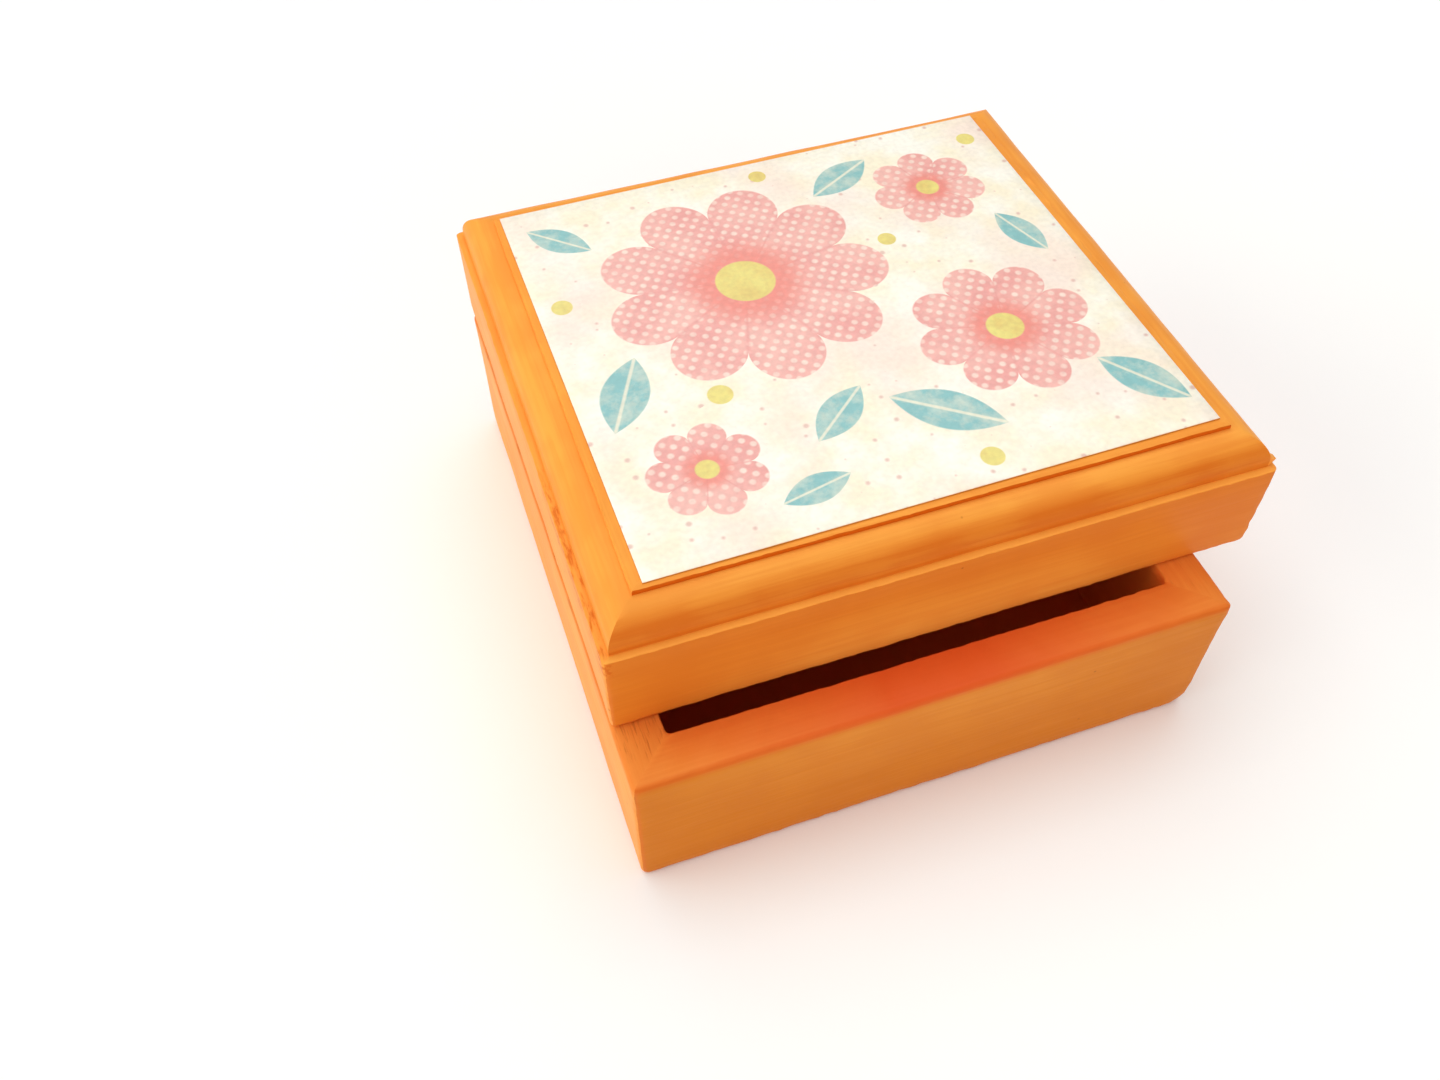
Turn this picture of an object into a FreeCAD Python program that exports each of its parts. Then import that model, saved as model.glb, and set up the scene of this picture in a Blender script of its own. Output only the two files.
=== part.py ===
import FreeCAD, Part
import os

# Wooden money box: a low tray of four mitred walls and a bottom panel, and a loose lid of
# four mitred rails under a board with a moulded edge, with a picture panel on top.
# Millimetres, +Z up. The origin is the centre of the underside of the tray.
# The front, where the lid leaves the mouth open as a slot, faces -Y.

# Footprint, the same for tray and lid: the lid lies a quarter turn round on the tray
SHORT_SIDE = 100.0
LONG_SIDE = 108.6
WALL_THICKNESS = 7.5

# Tray
TRAY_HEIGHT = 29.0
BOTTOM_THICKNESS = 3.0
REBATE_DEPTH = 3.6
BOTTOM_CLEARANCE = 0.15

# Where the lid lies on the tray
LID_BACK_OVERHANG = 2.3
LID_LEFT_INSET = 0.2
LID_SEAT_GAP = 0.1

# Lid rails and the board on them
RAIL_HEIGHT = 13.5
BOARD_EDGE_HEIGHT = 3.9

# Moulded edge, from the outside in: ledge, short upright, quarter round, narrow flat and quirk
LEDGE_WIDTH = 1.2
UPRIGHT_HEIGHT = 0.9
ROUND_RADIUS = 4.3
FLAT_WIDTH = 0.9
QUIRK_DEPTH = 0.8

# Picture panel, pasted on the flat of the board by hand and so a little askew
PICTURE_WIDTH = 92.6
PICTURE_DEPTH = 85.4
PICTURE_THICKNESS = 0.4
PICTURE_FRONT_MARGIN = 1.35
PICTURE_TURN = 0.5

# Sanded edges
CORNER_RADIUS = 0.8
INNER_CORNER_RADIUS = 1.2
RIM_RADIUS = 1.0
FOOT_RADIUS = 1.0
INNER_RIM_RADIUS = 0.5
LID_RIM_RADIUS = 0.7
LEDGE_RADIUS = 0.4

# Heights and places worked out from the sizes above
LID_BOTTOM = TRAY_HEIGHT + LID_SEAT_GAP
BOARD_BOTTOM = LID_BOTTOM + RAIL_HEIGHT
LEDGE_TOP = BOARD_BOTTOM + BOARD_EDGE_HEIGHT
BOARD_TOP = LEDGE_TOP + UPRIGHT_HEIGHT + ROUND_RADIUS + QUIRK_DEPTH
MOULDING_WIDTH = LEDGE_WIDTH + ROUND_RADIUS + FLAT_WIDTH
LID_CENTRE_X = (LONG_SIDE - SHORT_SIDE) / 2 + LID_LEFT_INSET
LID_CENTRE_Y = (LONG_SIDE - SHORT_SIDE) / 2 + LID_BACK_OVERHANG

# Turn about +Z that takes the front of a frame to each of its sides
SIDE_TURN = {"front": 0.0, "right": 90.0, "back": 180.0, "left": 270.0}
TOUCH = 1e-4


def block(size_x, size_y, low, high):
    corner = FreeCAD.Vector(-size_x / 2, -size_y / 2, low)
    return Part.makeBox(size_x, size_y, high - low, corner)


def upright_edges(shape):
    return [e for e in shape.Edges if e.BoundBox.XLength < TOUCH and e.BoundBox.YLength < TOUCH]


def level_edges(shape, height):
    return [e for e in shape.Edges
            if abs(e.BoundBox.ZMin - height) < TOUCH and abs(e.BoundBox.ZMax - height) < TOUCH]


def edges_within(edges, size_x, size_y):
    return [e for e in edges
            if e.BoundBox.XMax < size_x / 2 + TOUCH and e.BoundBox.YMax < size_y / 2 + TOUCH
            and e.BoundBox.XMin > -size_x / 2 - TOUCH and e.BoundBox.YMin > -size_y / 2 - TOUCH]


def rounded_block(size_x, size_y, low, high, radius):
    blank = block(size_x, size_y, low, high)
    return blank.makeFillet(radius, upright_edges(blank))


def wall_frame(size_x, size_y, low, high, outer_rounds, open_rim):
    """Four walls in one ring: outer_rounds pairs a height with the radius of its outer edge."""
    inner_x = size_x - 2 * WALL_THICKNESS
    inner_y = size_y - 2 * WALL_THICKNESS
    outer = rounded_block(size_x, size_y, low, high, CORNER_RADIUS)
    for height, radius in outer_rounds:
        outer = outer.makeFillet(radius, level_edges(outer, height))
    frame = outer.cut(rounded_block(inner_x, inner_y, low, high, INNER_CORNER_RADIUS))
    inner_rim = edges_within(level_edges(frame, open_rim), inner_x, inner_y)
    return frame.makeFillet(INNER_RIM_RADIUS, inner_rim)


def mitre_wedge(size_x, size_y, low, high, side):
    """Plan of one wall, cut at 45 degrees through the corners of the frame."""
    turn = SIDE_TURN[side]
    along, across = (size_x, size_y) if side in ("front", "back") else (size_y, size_x)
    reach = WALL_THICKNESS + INNER_CORNER_RADIUS
    outside = -across / 2
    corners = [(-along / 2, outside),
               (along / 2, outside),
               (along / 2 - reach, outside + reach),
               (-along / 2 + reach, outside + reach)]
    outline = [FreeCAD.Vector(x, y, low) for x, y in corners]
    wedge = Part.Face(Part.makePolygon(outline + outline[:1])).extrude(FreeCAD.Vector(0, 0, high - low))
    wedge.rotate(FreeCAD.Vector(0, 0, 0), FreeCAD.Vector(0, 0, 1), turn)
    return wedge


def mitred_walls(frame, size_x, size_y, low, high):
    return {side: frame.common(mitre_wedge(size_x, size_y, low, high, side)) for side in SIDE_TURN}


def moulded_prism(span, length, place):
    """Bar with the moulded edge on both long sides; place sets which way the span runs."""
    half = span / 2
    start = -length / 2
    spring = LEDGE_TOP + UPRIGHT_HEIGHT
    crown = spring + ROUND_RADIUS
    inset = half - MOULDING_WIDTH
    brow = inset + FLAT_WIDTH
    shoulder = half - LEDGE_WIDTH
    diagonal = ROUND_RADIUS / 2 ** 0.5

    def at(across, height):
        return place(across, start, height)

    def edge_of(sign):
        """The moulded edge on one side, from the quirk down to the foot of the board."""
        quarter = Part.Arc(at(sign * brow, crown),
                           at(sign * (brow + diagonal), spring + diagonal),
                           at(sign * shoulder, spring))
        return [Part.makeLine(at(sign * inset, BOARD_TOP), at(sign * inset, crown)),
                Part.makeLine(at(sign * inset, crown), at(sign * brow, crown)),
                quarter.toShape(),
                Part.makeLine(at(sign * shoulder, spring), at(sign * shoulder, LEDGE_TOP)),
                Part.makeLine(at(sign * shoulder, LEDGE_TOP), at(sign * half, LEDGE_TOP)),
                Part.makeLine(at(sign * half, LEDGE_TOP), at(sign * half, BOARD_BOTTOM))]

    top = Part.makeLine(at(-inset, BOARD_TOP), at(inset, BOARD_TOP))
    foot = Part.makeLine(at(half, BOARD_BOTTOM), at(-half, BOARD_BOTTOM))
    edges = [top, foot] + edge_of(-1) + edge_of(1)
    outline = Part.Wire(Part.__sortEdges__(edges))
    return Part.Face(outline).extrude(place(0, length, 0))


def lid_board(size_x, size_y):
    """Where the two prisms meet, the moulding turns the corners in mitres."""
    side_to_side = moulded_prism(size_x, size_y, lambda s, l, h: FreeCAD.Vector(s, l, h))
    front_to_back = moulded_prism(size_y, size_x, lambda s, l, h: FreeCAD.Vector(l, s, h))
    board = side_to_side.common(front_to_back).removeSplitter()
    outer = [e for e in upright_edges(board)
             if abs(e.BoundBox.XMax) > size_x / 2 - TOUCH and e.BoundBox.ZMin < BOARD_BOTTOM + TOUCH]
    board = board.makeFillet(CORNER_RADIUS, outer)
    ledge = [e for e in level_edges(board, LEDGE_TOP)
             if e not in edges_within([e], size_x - 2 * LEDGE_WIDTH, size_y - 2 * LEDGE_WIDTH)]
    return board.makeFillet(LEDGE_RADIUS, ledge)


def picture_panel(board_depth):
    front = -board_depth / 2 + MOULDING_WIDTH + PICTURE_FRONT_MARGIN
    corner = FreeCAD.Vector(-PICTURE_WIDTH / 2, front, BOARD_TOP)
    panel = Part.makeBox(PICTURE_WIDTH, PICTURE_DEPTH, PICTURE_THICKNESS, corner)
    panel.rotate(panel.BoundBox.Center, FreeCAD.Vector(0, 0, 1), PICTURE_TURN)
    return panel


def tray():
    """Walls with a rebate round the foot, and the bottom panel that lies in it."""
    opening_x = SHORT_SIDE - 2 * WALL_THICKNESS
    opening_y = LONG_SIDE - 2 * WALL_THICKNESS
    rounds = [(TRAY_HEIGHT, RIM_RADIUS), (0.0, FOOT_RADIUS)]
    frame = wall_frame(SHORT_SIDE, LONG_SIDE, 0.0, TRAY_HEIGHT, rounds, TRAY_HEIGHT)
    rebate = block(opening_x + 2 * REBATE_DEPTH, opening_y + 2 * REBATE_DEPTH, 0.0, BOTTOM_THICKNESS)
    walls = mitred_walls(frame.cut(rebate), SHORT_SIDE, LONG_SIDE, 0.0, TRAY_HEIGHT)
    pieces = {"base_%s_wall" % side: wall for side, wall in walls.items()}
    lap = 2 * (REBATE_DEPTH - BOTTOM_CLEARANCE)
    pieces["base_bottom_panel"] = block(opening_x + lap, opening_y + lap, 0.0, BOTTOM_THICKNESS)
    return pieces


def lid():
    """Rails, moulded board and picture panel, carried to where the lid lies on the tray."""
    rounds = [(LID_BOTTOM, LID_RIM_RADIUS)]
    frame = wall_frame(LONG_SIDE, SHORT_SIDE, LID_BOTTOM, BOARD_BOTTOM, rounds, LID_BOTTOM)
    rails = mitred_walls(frame, LONG_SIDE, SHORT_SIDE, LID_BOTTOM, BOARD_BOTTOM)
    pieces = {"lid_%s_rail" % side: rail for side, rail in rails.items()}
    pieces["lid_top_board"] = lid_board(LONG_SIDE, SHORT_SIDE)
    pieces["lid_picture_panel"] = picture_panel(SHORT_SIDE)
    for piece in pieces.values():
        piece.translate(FreeCAD.Vector(LID_CENTRE_X, LID_CENTRE_Y, 0))
    return pieces


os.makedirs("parts", exist_ok=True)
for node, piece in {**tray(), **lid()}.items():
    piece.Solids[0].exportStep("parts/%s.step" % node)
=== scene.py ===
import math

import bmesh
import bpy
from bpy.props import FloatProperty, FloatVectorProperty, IntProperty, PointerProperty
from mathutils import Matrix, Vector


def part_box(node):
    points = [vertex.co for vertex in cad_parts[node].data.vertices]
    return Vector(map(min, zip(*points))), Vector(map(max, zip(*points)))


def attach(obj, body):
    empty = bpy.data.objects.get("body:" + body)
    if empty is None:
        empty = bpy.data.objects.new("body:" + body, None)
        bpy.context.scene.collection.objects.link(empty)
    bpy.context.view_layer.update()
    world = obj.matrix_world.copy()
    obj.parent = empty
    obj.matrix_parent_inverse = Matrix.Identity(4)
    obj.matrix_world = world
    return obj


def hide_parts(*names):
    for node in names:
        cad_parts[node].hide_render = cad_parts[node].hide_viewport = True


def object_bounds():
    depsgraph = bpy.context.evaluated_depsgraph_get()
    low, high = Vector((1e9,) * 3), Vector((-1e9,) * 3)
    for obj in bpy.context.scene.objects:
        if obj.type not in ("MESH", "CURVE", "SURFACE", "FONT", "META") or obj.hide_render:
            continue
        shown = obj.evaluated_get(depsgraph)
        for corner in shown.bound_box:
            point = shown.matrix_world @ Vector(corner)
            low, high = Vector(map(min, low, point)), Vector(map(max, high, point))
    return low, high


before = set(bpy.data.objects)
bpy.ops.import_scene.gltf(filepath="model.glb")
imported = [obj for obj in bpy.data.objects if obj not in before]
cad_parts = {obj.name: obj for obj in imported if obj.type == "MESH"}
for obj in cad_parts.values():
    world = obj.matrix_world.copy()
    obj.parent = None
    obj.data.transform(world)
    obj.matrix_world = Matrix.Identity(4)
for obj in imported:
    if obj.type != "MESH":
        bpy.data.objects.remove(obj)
CAD_BOX = [list(corner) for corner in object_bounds()]

bl_info = {
    "name": "Wooden Money Box",
    "version": (1, 0, 0),
    "blender": (4, 5, 0),
    "location": "View3D > Sidebar > Money Box",
    "description": "Models and paints the wooden money box around its CAD frame",
    "category": "Add Mesh",
}

MM = 0.001
SIDES = ("front", "right", "back", "left")
# Places nearer than this are the same
TOUCH = 0.002 * MM
# Share of a radius or of a direction that passes for the whole
NEARLY = 0.99
# Level and upright edges longer than these are cut into stretches
LONG_EDGE = 40 * MM
TALL_EDGE = 10 * MM
# Faces that meet at less than this shade as one
SMOOTH_ANGLE = math.radians(40)


def linear(code):
    """Linear colour of an sRGB hex value."""
    parts = [int(code[i:i + 2], 16) / 255 for i in (1, 3, 5)]
    return [p / 12.92 if p <= 0.04045 else ((p + 0.055) / 1.055) ** 2.4 for p in parts]


# Sizes and colours that a user would change

def size_property(name, size, description):
    """A length, given in millimetres."""
    return FloatProperty(name=name, description=description, default=size * MM, unit="LENGTH")


def colour_property(name, colour, description):
    """A paint, an ink or a light, given as a linear colour."""
    return FloatVectorProperty(name=name, description=description, default=colour, size=3, subtype="COLOR",
                               min=0, max=1)


class MoneyBoxShape(bpy.types.PropertyGroup):
    """Sizes of the joinery and of the moulded edge"""
    wall: size_property("Wall", 7.5, "Thickness of tray walls and lid rails")
    rebate: size_property("Rebate", 3.6, "How far the bottom panel's seat is cut into the walls")
    edge_radius: size_property("Edge radius", 1.0, "Sanded outer edges of the tray")
    lid_edge_radius: size_property("Lid edge radius", 0.8, "Sanded outer edges of the lid's rails and board")
    inner_corner: size_property("Inner corner", 1.2, "Radius of the hollow's upright corners")
    inner_rim: size_property("Inner rim", 0.5, "Radius of the arris round the mouth")
    bottom_radius: size_property("Bottom radius", 0.3, "Sanded arrises of the bottom panel")
    board_edge: size_property("Board edge", 3.9, "Height of the lid board's square edge")
    ledge: size_property("Ledge", 1.2, "Width of the step outside the moulding")
    ledge_radius: size_property("Ledge radius", 0.35, "Sanded arris of the ledge")
    upright: size_property("Upright", 0.9, "Short upright under the quarter round")
    round: size_property("Quarter round", 4.3, "Radius of the moulding's round")
    flat: size_property("Flat", 0.9, "Narrow flat between the round and the quirk")
    quirk: size_property("Quirk", 0.8, "Depth of the step round the lid's top")
    quirk_radius: size_property("Quirk radius", 0.15, "Sanded arris of the lid's top")
    picture_width: size_property("Picture width", 92.6, "Side to side size of the picture panel")
    picture_depth: size_property("Picture depth", 85.4, "Front to back size of the picture panel")
    picture_radius: size_property("Picture radius", 0.12, "Eased upper arris of the picture panel")
    picture_turn: FloatProperty(
        name="Picture turn", description="How far askew the picture panel is pasted",
        default=math.radians(0.5), subtype="ANGLE")


class MoneyBoxHandwork(bpy.types.PropertyGroup):
    """How far sanding, painting and wear leave the wood from true"""
    sway_size: size_property("Sway size", 14, "Length of the slow waves in faces and edges")
    sway: size_property("Sway", 0.20, "Reach of the slow waves")
    nibble_size: size_property("Nibble size", 1.6, "Length of the fine unevenness of the arrises")
    nibble: size_property("Nibble", 0.26, "Reach of the fine unevenness of the arrises")
    slack: size_property("Slack", 0.14, "How far the wood is cut back inside the CAD, so that waves stay within it")
    knock: size_property("Knock", 0.32, "How far the foot of the tray's front right corner is worn back each way")
    knock_reach: size_property("Knock reach", 2.4, "How far that wear runs out along the edges")
    nib: size_property("Nib", 1.15, "Size of a nib of dried paint at the foot of the round, front right")
    cuts: IntProperty(
        name="Cuts", description="Cuts along each long edge of walls, rails and board, which the waves need",
        default=95, min=1)
    bottom_cuts: IntProperty(
        name="Bottom cuts", description="Cuts along each edge of the bottom panel", default=23, min=1)
    picture_cuts: IntProperty(
        name="Picture cuts", description="Cuts along each edge of the picture panel", default=40, min=1)


class MoneyBoxPaint(bpy.types.PropertyGroup):
    """Orange paint, in a lit copy and shaded copies that are painted light and shade, and bare plywood"""
    # Painted light: the paint's lit copy, on faces that look up and on the left and right sides
    body: colour_property("Paint", linear("#FCA947"), "Paint on faces that look up and on the left and right sides")
    streak: colour_property("Streak", linear("#F4993D"), "That paint where the brush left it thin")
    # Painted shade: shaded copies of the same paint, redder on the lid's front and back, browner on the tray's
    rail: colour_property("Lid front", linear("#E58126"), "Redder paint on the lid's front and back")
    rail_streak: colour_property("Lid front streak", linear("#E07A24"), "The lid's front paint where it is thin")
    wall: colour_property("Tray front", linear("#DB801A"), "Browner paint on the tray's front and back")
    wall_streak: colour_property("Tray front streak", linear("#D67A18"), "The tray's front paint where it is thin")
    # A redder orange: painted shade and bounced light on the tray's rim, and redder paint on the arrises
    shade_and_arris_red: colour_property("Rim_shade_and_arrises", linear("#E25A26"), "Redder paint where lid and tray rub, and on arrises")
    # Painted highlight: a paler orange on the ledge
    sanded: colour_property("Sanded", linear("#FFB04A"), "Paler paint on the ledge")
    # A darker orange: painted shade in the quirk along front and back, and dark paint in brush lines and scuffs
    dark_marks_and_shade: colour_property("Quirk_shade_and_marks", linear("#D8640E"), "Darker paint in the quirk, in brush lines and scuffs")
    # Painted shade: the inside's orange, made deeper and redder than outside for the dark hollows
    inside: colour_property("Inside", linear("#F6762C"), "Deeper paint in the hollows of tray and lid")
    chip: colour_property("Chip", linear("#A84A14"), "Undercoat in scratches and pits")
    birch: colour_property("Birch", linear("#DDBE92"), "Bare plywood under the tray")
    birch_grain: colour_property("Birch grain", linear("#C49A68"), "Darker grain of the bare plywood")


class MoneyBoxPrint(bpy.types.PropertyGroup):
    """Inks and paper of the flower print"""
    paper: colour_property("Paper", linear("#FCF1D6"), "Cream ground")
    paper_light: colour_property("Light paper", linear("#FFFBEF"), "Paler patches of the ground")
    blush: colour_property("Blush", linear("#FBE4D7"), "Pink clouds in the ground")
    speck: colour_property("Speck", linear("#E3B9AC"), "Specks on the ground")
    pink: colour_property("Pink", linear("#F4B8AD"), "Petals")
    rose: colour_property("Rose", linear("#EC9F98"), "Creases and shade of the petals")
    dot: colour_property("Dot", linear("#FBE2D4"), "Pale dots on the petals")
    coral: colour_property("Coral", linear("#EE8374"), "Blush round the flower's heart")
    yellow: colour_property("Yellow", linear("#EBDB78"), "Hearts and buds")
    teal: colour_property("Teal", linear("#82BDBE"), "Leaves")
    edge: colour_property("Edge", linear("#CE8630"), "Cut edge of the panel, dark with glue, and ochre in the yellow")
    dot_pitch: size_property("Dot pitch", 1.9, "Distance between the dots of the petals")


class MoneyBoxStage(bpy.types.PropertyGroup):
    """Floor, light and camera"""
    floor: colour_property("Floor", linear("#FAFAFA"), "White paper under the box")
    floor_size: FloatProperty(
        name="Floor size", description="Side of the sheet of paper", default=6.0, unit="LENGTH")
    floor_gap: size_property("Floor gap", 0.05, "How far the paper lies below the foot of the tray")
    floor_lift: FloatProperty(
        name="Floor lift", description="How much whiter the paper looks to the camera than the light makes it",
        default=0.08, min=0)
    softness: FloatProperty(
        name="Softness", description="How wide the three lights are, as an angle", default=math.radians(70),
        subtype="ANGLE")
    key: FloatProperty(name="Key", description="Strength of the soft light from above", default=1.82)
    key_colour: colour_property("Key colour", (0.94, 0.99, 1.0), "Colour of the soft light from above")
    key_direction: FloatVectorProperty(
        name="Key direction", description="Where the light from above goes", default=(-0.02, -0.33, -1.0),
        size=3, subtype="XYZ")
    fill: FloatProperty(name="Fill", description="Strength of the weak light from the front", default=1.25)
    fill_colour: colour_property("Fill colour", (1.0, 0.86, 0.78), "Colour of the weak light from the front")
    fill_direction: FloatVectorProperty(
        name="Fill direction", description="Where the light from the front goes", default=(0.15, 0.95, -0.16),
        size=3, subtype="XYZ")
    window: FloatProperty(name="Window", description="Strength of the low light from the left", default=1.9)
    window_colour: colour_property("Window colour", (0.93, 1.0, 0.88), "Colour of the low light from the left")
    window_direction: FloatVectorProperty(
        name="Window direction", description="Where the light from the left goes", default=(1.0, -0.1, -0.16),
        size=3, subtype="XYZ")
    room: FloatProperty(name="Room", description="Strength of the light from the room", default=0.28)
    room_colour: colour_property("Room colour", (1.0, 0.90, 0.86), "Warm light from the room")
    camera_place: FloatVectorProperty(
        name="Camera", description="Where the camera stands", default=(-64.0 * MM, -138.2 * MM, 193.9 * MM),
        size=3, subtype="TRANSLATION", unit="LENGTH")
    azimuth: FloatProperty(
        name="Azimuth", description="Camera's turn from looking along +Y", default=math.radians(18.4),
        subtype="ANGLE")
    elevation: FloatProperty(
        name="Elevation", description="How steeply the camera looks down", default=math.radians(51.69),
        subtype="ANGLE")
    roll: FloatProperty(
        name="Roll", description="Camera's turn about its own axis", default=math.radians(-0.73), subtype="ANGLE")
    lens: FloatProperty(name="Lens", description="Focal length in millimetres", default=31.66)
    sensor: FloatProperty(name="Sensor", description="Width of the sensor in millimetres", default=36.0)


# Modelling by hand

def start_block(name, low, high):
    """A cube between two corners, with its size and place in its mesh, left in edit mode."""
    bpy.ops.object.select_all(action="DESELECT")
    bpy.ops.mesh.primitive_cube_add(size=1, location=(low + high) / 2)
    block = bpy.context.object
    block.name = block.data.name = name
    block.scale = high - low
    bpy.ops.object.transform_apply(location=True, rotation=True, scale=True)
    bpy.ops.object.vertex_group_add()
    block.vertex_groups.active.name = "arris"
    bpy.ops.object.mode_set(mode="EDIT")
    return block


def pick(kind, test):
    """Select, in edit mode, only the vertices, edges or faces that pass a test."""
    bpy.ops.mesh.select_mode(type=kind)
    bpy.ops.mesh.select_all(action="DESELECT")
    data = bpy.context.object.data
    mesh = bmesh.from_edit_mesh(data)
    for item in {"VERT": mesh.verts, "EDGE": mesh.edges, "FACE": mesh.faces}[kind]:
        item.select_set(test(item))
    mesh.select_flush_mode()
    bmesh.update_edit_mesh(data)


def facing(face, direction):
    """A face that looks straight up, for a direction of 1, or down, for -1."""
    return face.normal.z * direction > NEARLY


def on_axis(face, centre):
    """A face that lies across the middle of the block, as the blank ends of a hollow do."""
    middle = face.calc_center_median()
    return abs(middle.x - centre.x) < TOUCH and abs(middle.y - centre.y) < TOUCH


def level_at(edge, height):
    """An edge that lies level at a height."""
    return all(abs(v.co.z - height) < TOUCH for v in edge.verts)


def upright(edge):
    """An edge that runs straight up."""
    along = edge.verts[0].co - edge.verts[1].co
    return along.xy.length < TOUCH


def within(edge, centre, half_x, half_y):
    """An edge with both ends inside a rectangle round the centre."""
    return all(abs(v.co.x - centre.x) < half_x + TOUCH and abs(v.co.y - centre.y) < half_y + TOUCH
               for v in edge.verts)


def margins(vertex, low, high):
    """How far a vertex lies inside the faces of a block, for X, Y and Z."""
    return [min(c - l, h - c) for c, l, h in zip(vertex.co, low, high)]


def outermost(edge, low, high, reach=TOUCH):
    """An edge within reach of the outside of the block's plan."""
    return all(min(margins(v, low, high)[:2]) < reach for v in edge.verts)


def ease(radius, segments):
    """Round the selected edges."""
    bpy.ops.mesh.bevel(offset=radius, segments=segments, affect="EDGES", clamp_overlap=True)


def push(height):
    """Extrude the selected face up or down."""
    bpy.ops.mesh.extrude_region_move(TRANSFORM_OT_translate={"value": (0, 0, height)})


def pull(place, shift, reach, falloff):
    """Move the mesh at a place, and ever less of it round about as far as a reach."""
    pick("VERT", lambda v: (v.co - place).length < reach / 2)
    bpy.ops.transform.translate(value=shift, use_proportional_edit=True, proportional_edit_falloff=falloff,
                                proportional_size=reach)


def slice_edges(cuts):
    """Cut long level edges into short stretches, and tall ones, about a sixth as long, to match."""
    pick("EDGE", lambda e: e.calc_length() > LONG_EDGE and not upright(e))
    bpy.ops.mesh.subdivide(number_cuts=cuts)
    pick("EDGE", lambda e: e.calc_length() > TALL_EDGE and upright(e))
    bpy.ops.mesh.subdivide(number_cuts=cuts // 6)


def mark_arrises(test):
    """Put the vertices that pass a test in the group of the uneven arrises."""
    pick("VERT", test)
    bpy.ops.object.vertex_group_assign()


def cut_back(boxes, slack):
    """The box round some CAD nodes, cut back on its four sides."""
    low = Vector(map(min, zip(*(box[0] for box in boxes))))
    high = Vector(map(max, zip(*(box[1] for box in boxes))))
    aside = Vector((slack, slack, 0))
    return low + aside, high - aside


def ring(name, low, high, shape, cuts, radius, rounded_heights, mouth, rebate=0, seat=0):
    """Four walls in one piece round an open hollow, with a rebate up to a seat where one is asked for."""
    centre = (low + high) / 2
    inside = (high - low) / 2 - Vector((shape.wall, shape.wall, 0))
    block = start_block(name, low, high)
    pick("FACE", lambda f: facing(f, 1))
    bpy.ops.mesh.inset(thickness=shape.wall)
    pick("FACE", lambda f: facing(f, -1))
    bpy.ops.mesh.inset(thickness=shape.wall - rebate)
    if rebate:
        push(seat - low.z)
        bpy.ops.mesh.inset(thickness=rebate)
    pick("FACE", lambda f: on_axis(f, centre))
    bpy.ops.mesh.bridge_edge_loops()
    pick("EDGE", lambda e: upright(e) and within(e, centre, inside.x, inside.y))
    ease(shape.inner_corner, segments=6)
    pick("EDGE", lambda e: outermost(e, low, high) and (upright(e) or any(level_at(e, z) for z in rounded_heights)))
    ease(radius, segments=4)
    pick("EDGE", lambda e: level_at(e, mouth) and within(e, centre, inside.x, inside.y))
    ease(shape.inner_rim, segments=3)
    slice_edges(cuts)

    def worn(vertex):
        x, y, z = margins(vertex, low, high)
        outer = NEARLY * radius
        lip = NEARLY * shape.inner_rim
        corner = max(x, y) < outer
        rounded = z < outer and any(abs(vertex.co.z - height) < radius for height in rounded_heights)
        at_mouth = abs(vertex.co.z - mouth) < lip and min(x, y) > shape.wall - lip
        return corner or (rounded and min(x, y) < outer) or at_mouth

    mark_arrises(worn)
    return block


def saw_mitres(block, name, low, high, side):
    """One wall of a ring: a copy cut at 45 degrees through two corners."""
    bpy.ops.object.select_all(action="DESELECT")
    block.select_set(True)
    bpy.context.view_layer.objects.active = block
    bpy.ops.object.duplicate()
    wall = bpy.context.object
    wall.name = wall.data.name = name
    corners = [Vector((low.x, low.y, 0)), Vector((high.x, low.y, 0)),
               Vector((high.x, high.y, 0)), Vector((low.x, high.y, 0))]
    start = corners[SIDES.index(side)]
    end = corners[(SIDES.index(side) + 1) % len(SIDES)]
    along = (end - start).normalized()
    inward = Vector((-along.y, along.x, 0))
    bpy.ops.object.mode_set(mode="EDIT")
    for corner, keep in ((start, along - inward), (end, -along - inward)):
        bpy.ops.mesh.select_all(action="SELECT")
        bpy.ops.mesh.bisect(plane_co=corner, plane_no=keep, use_fill=True, clear_inner=True, threshold=TOUCH)
    bpy.ops.object.mode_set(mode="OBJECT")
    return wall


def unsettle(piece, name, size, reach, group=""):
    """Shift the mesh by a noise that all pieces share, so that closed joints stay closed."""
    texture = bpy.data.textures.get(name) or bpy.data.textures.new(name, "CLOUDS")
    texture.cloud_type = "COLOR"
    texture.noise_scale = size
    texture.noise_depth = 1
    bpy.ops.object.modifier_add(type="DISPLACE")
    modifier = piece.modifiers[-1]
    modifier.texture = texture
    modifier.texture_coords = "LOCAL"
    modifier.direction = "RGB_TO_XYZ"
    modifier.strength = reach
    modifier.vertex_group = group
    bpy.ops.object.modifier_apply(modifier=modifier.name)


def finish_wood(piece, hand):
    """Leave the piece as sanding and painting by hand would, and keep where its arrises are for the paint."""
    bpy.ops.object.select_all(action="DESELECT")
    piece.select_set(True)
    bpy.context.view_layer.objects.active = piece
    unsettle(piece, "slow waves", hand.sway_size, hand.sway)
    unsettle(piece, "uneven arrises", hand.nibble_size, hand.nibble, "arris")
    bpy.ops.object.shade_smooth_by_angle(angle=SMOOTH_ANGLE)
    group = piece.vertex_groups["arris"].index
    worn = piece.data.attributes.new("worn", "FLOAT", "POINT")
    for vertex in piece.data.vertices:
        worn.data[vertex.index].value = sum(g.weight for g in vertex.groups if g.group == group)


def hand_over(piece, material, body, node):
    """Dress a finished piece and set it in the frame in place of its CAD node."""
    piece.data.materials.clear()
    piece.data.materials.append(material)
    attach(piece, body)
    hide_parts(node)


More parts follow.
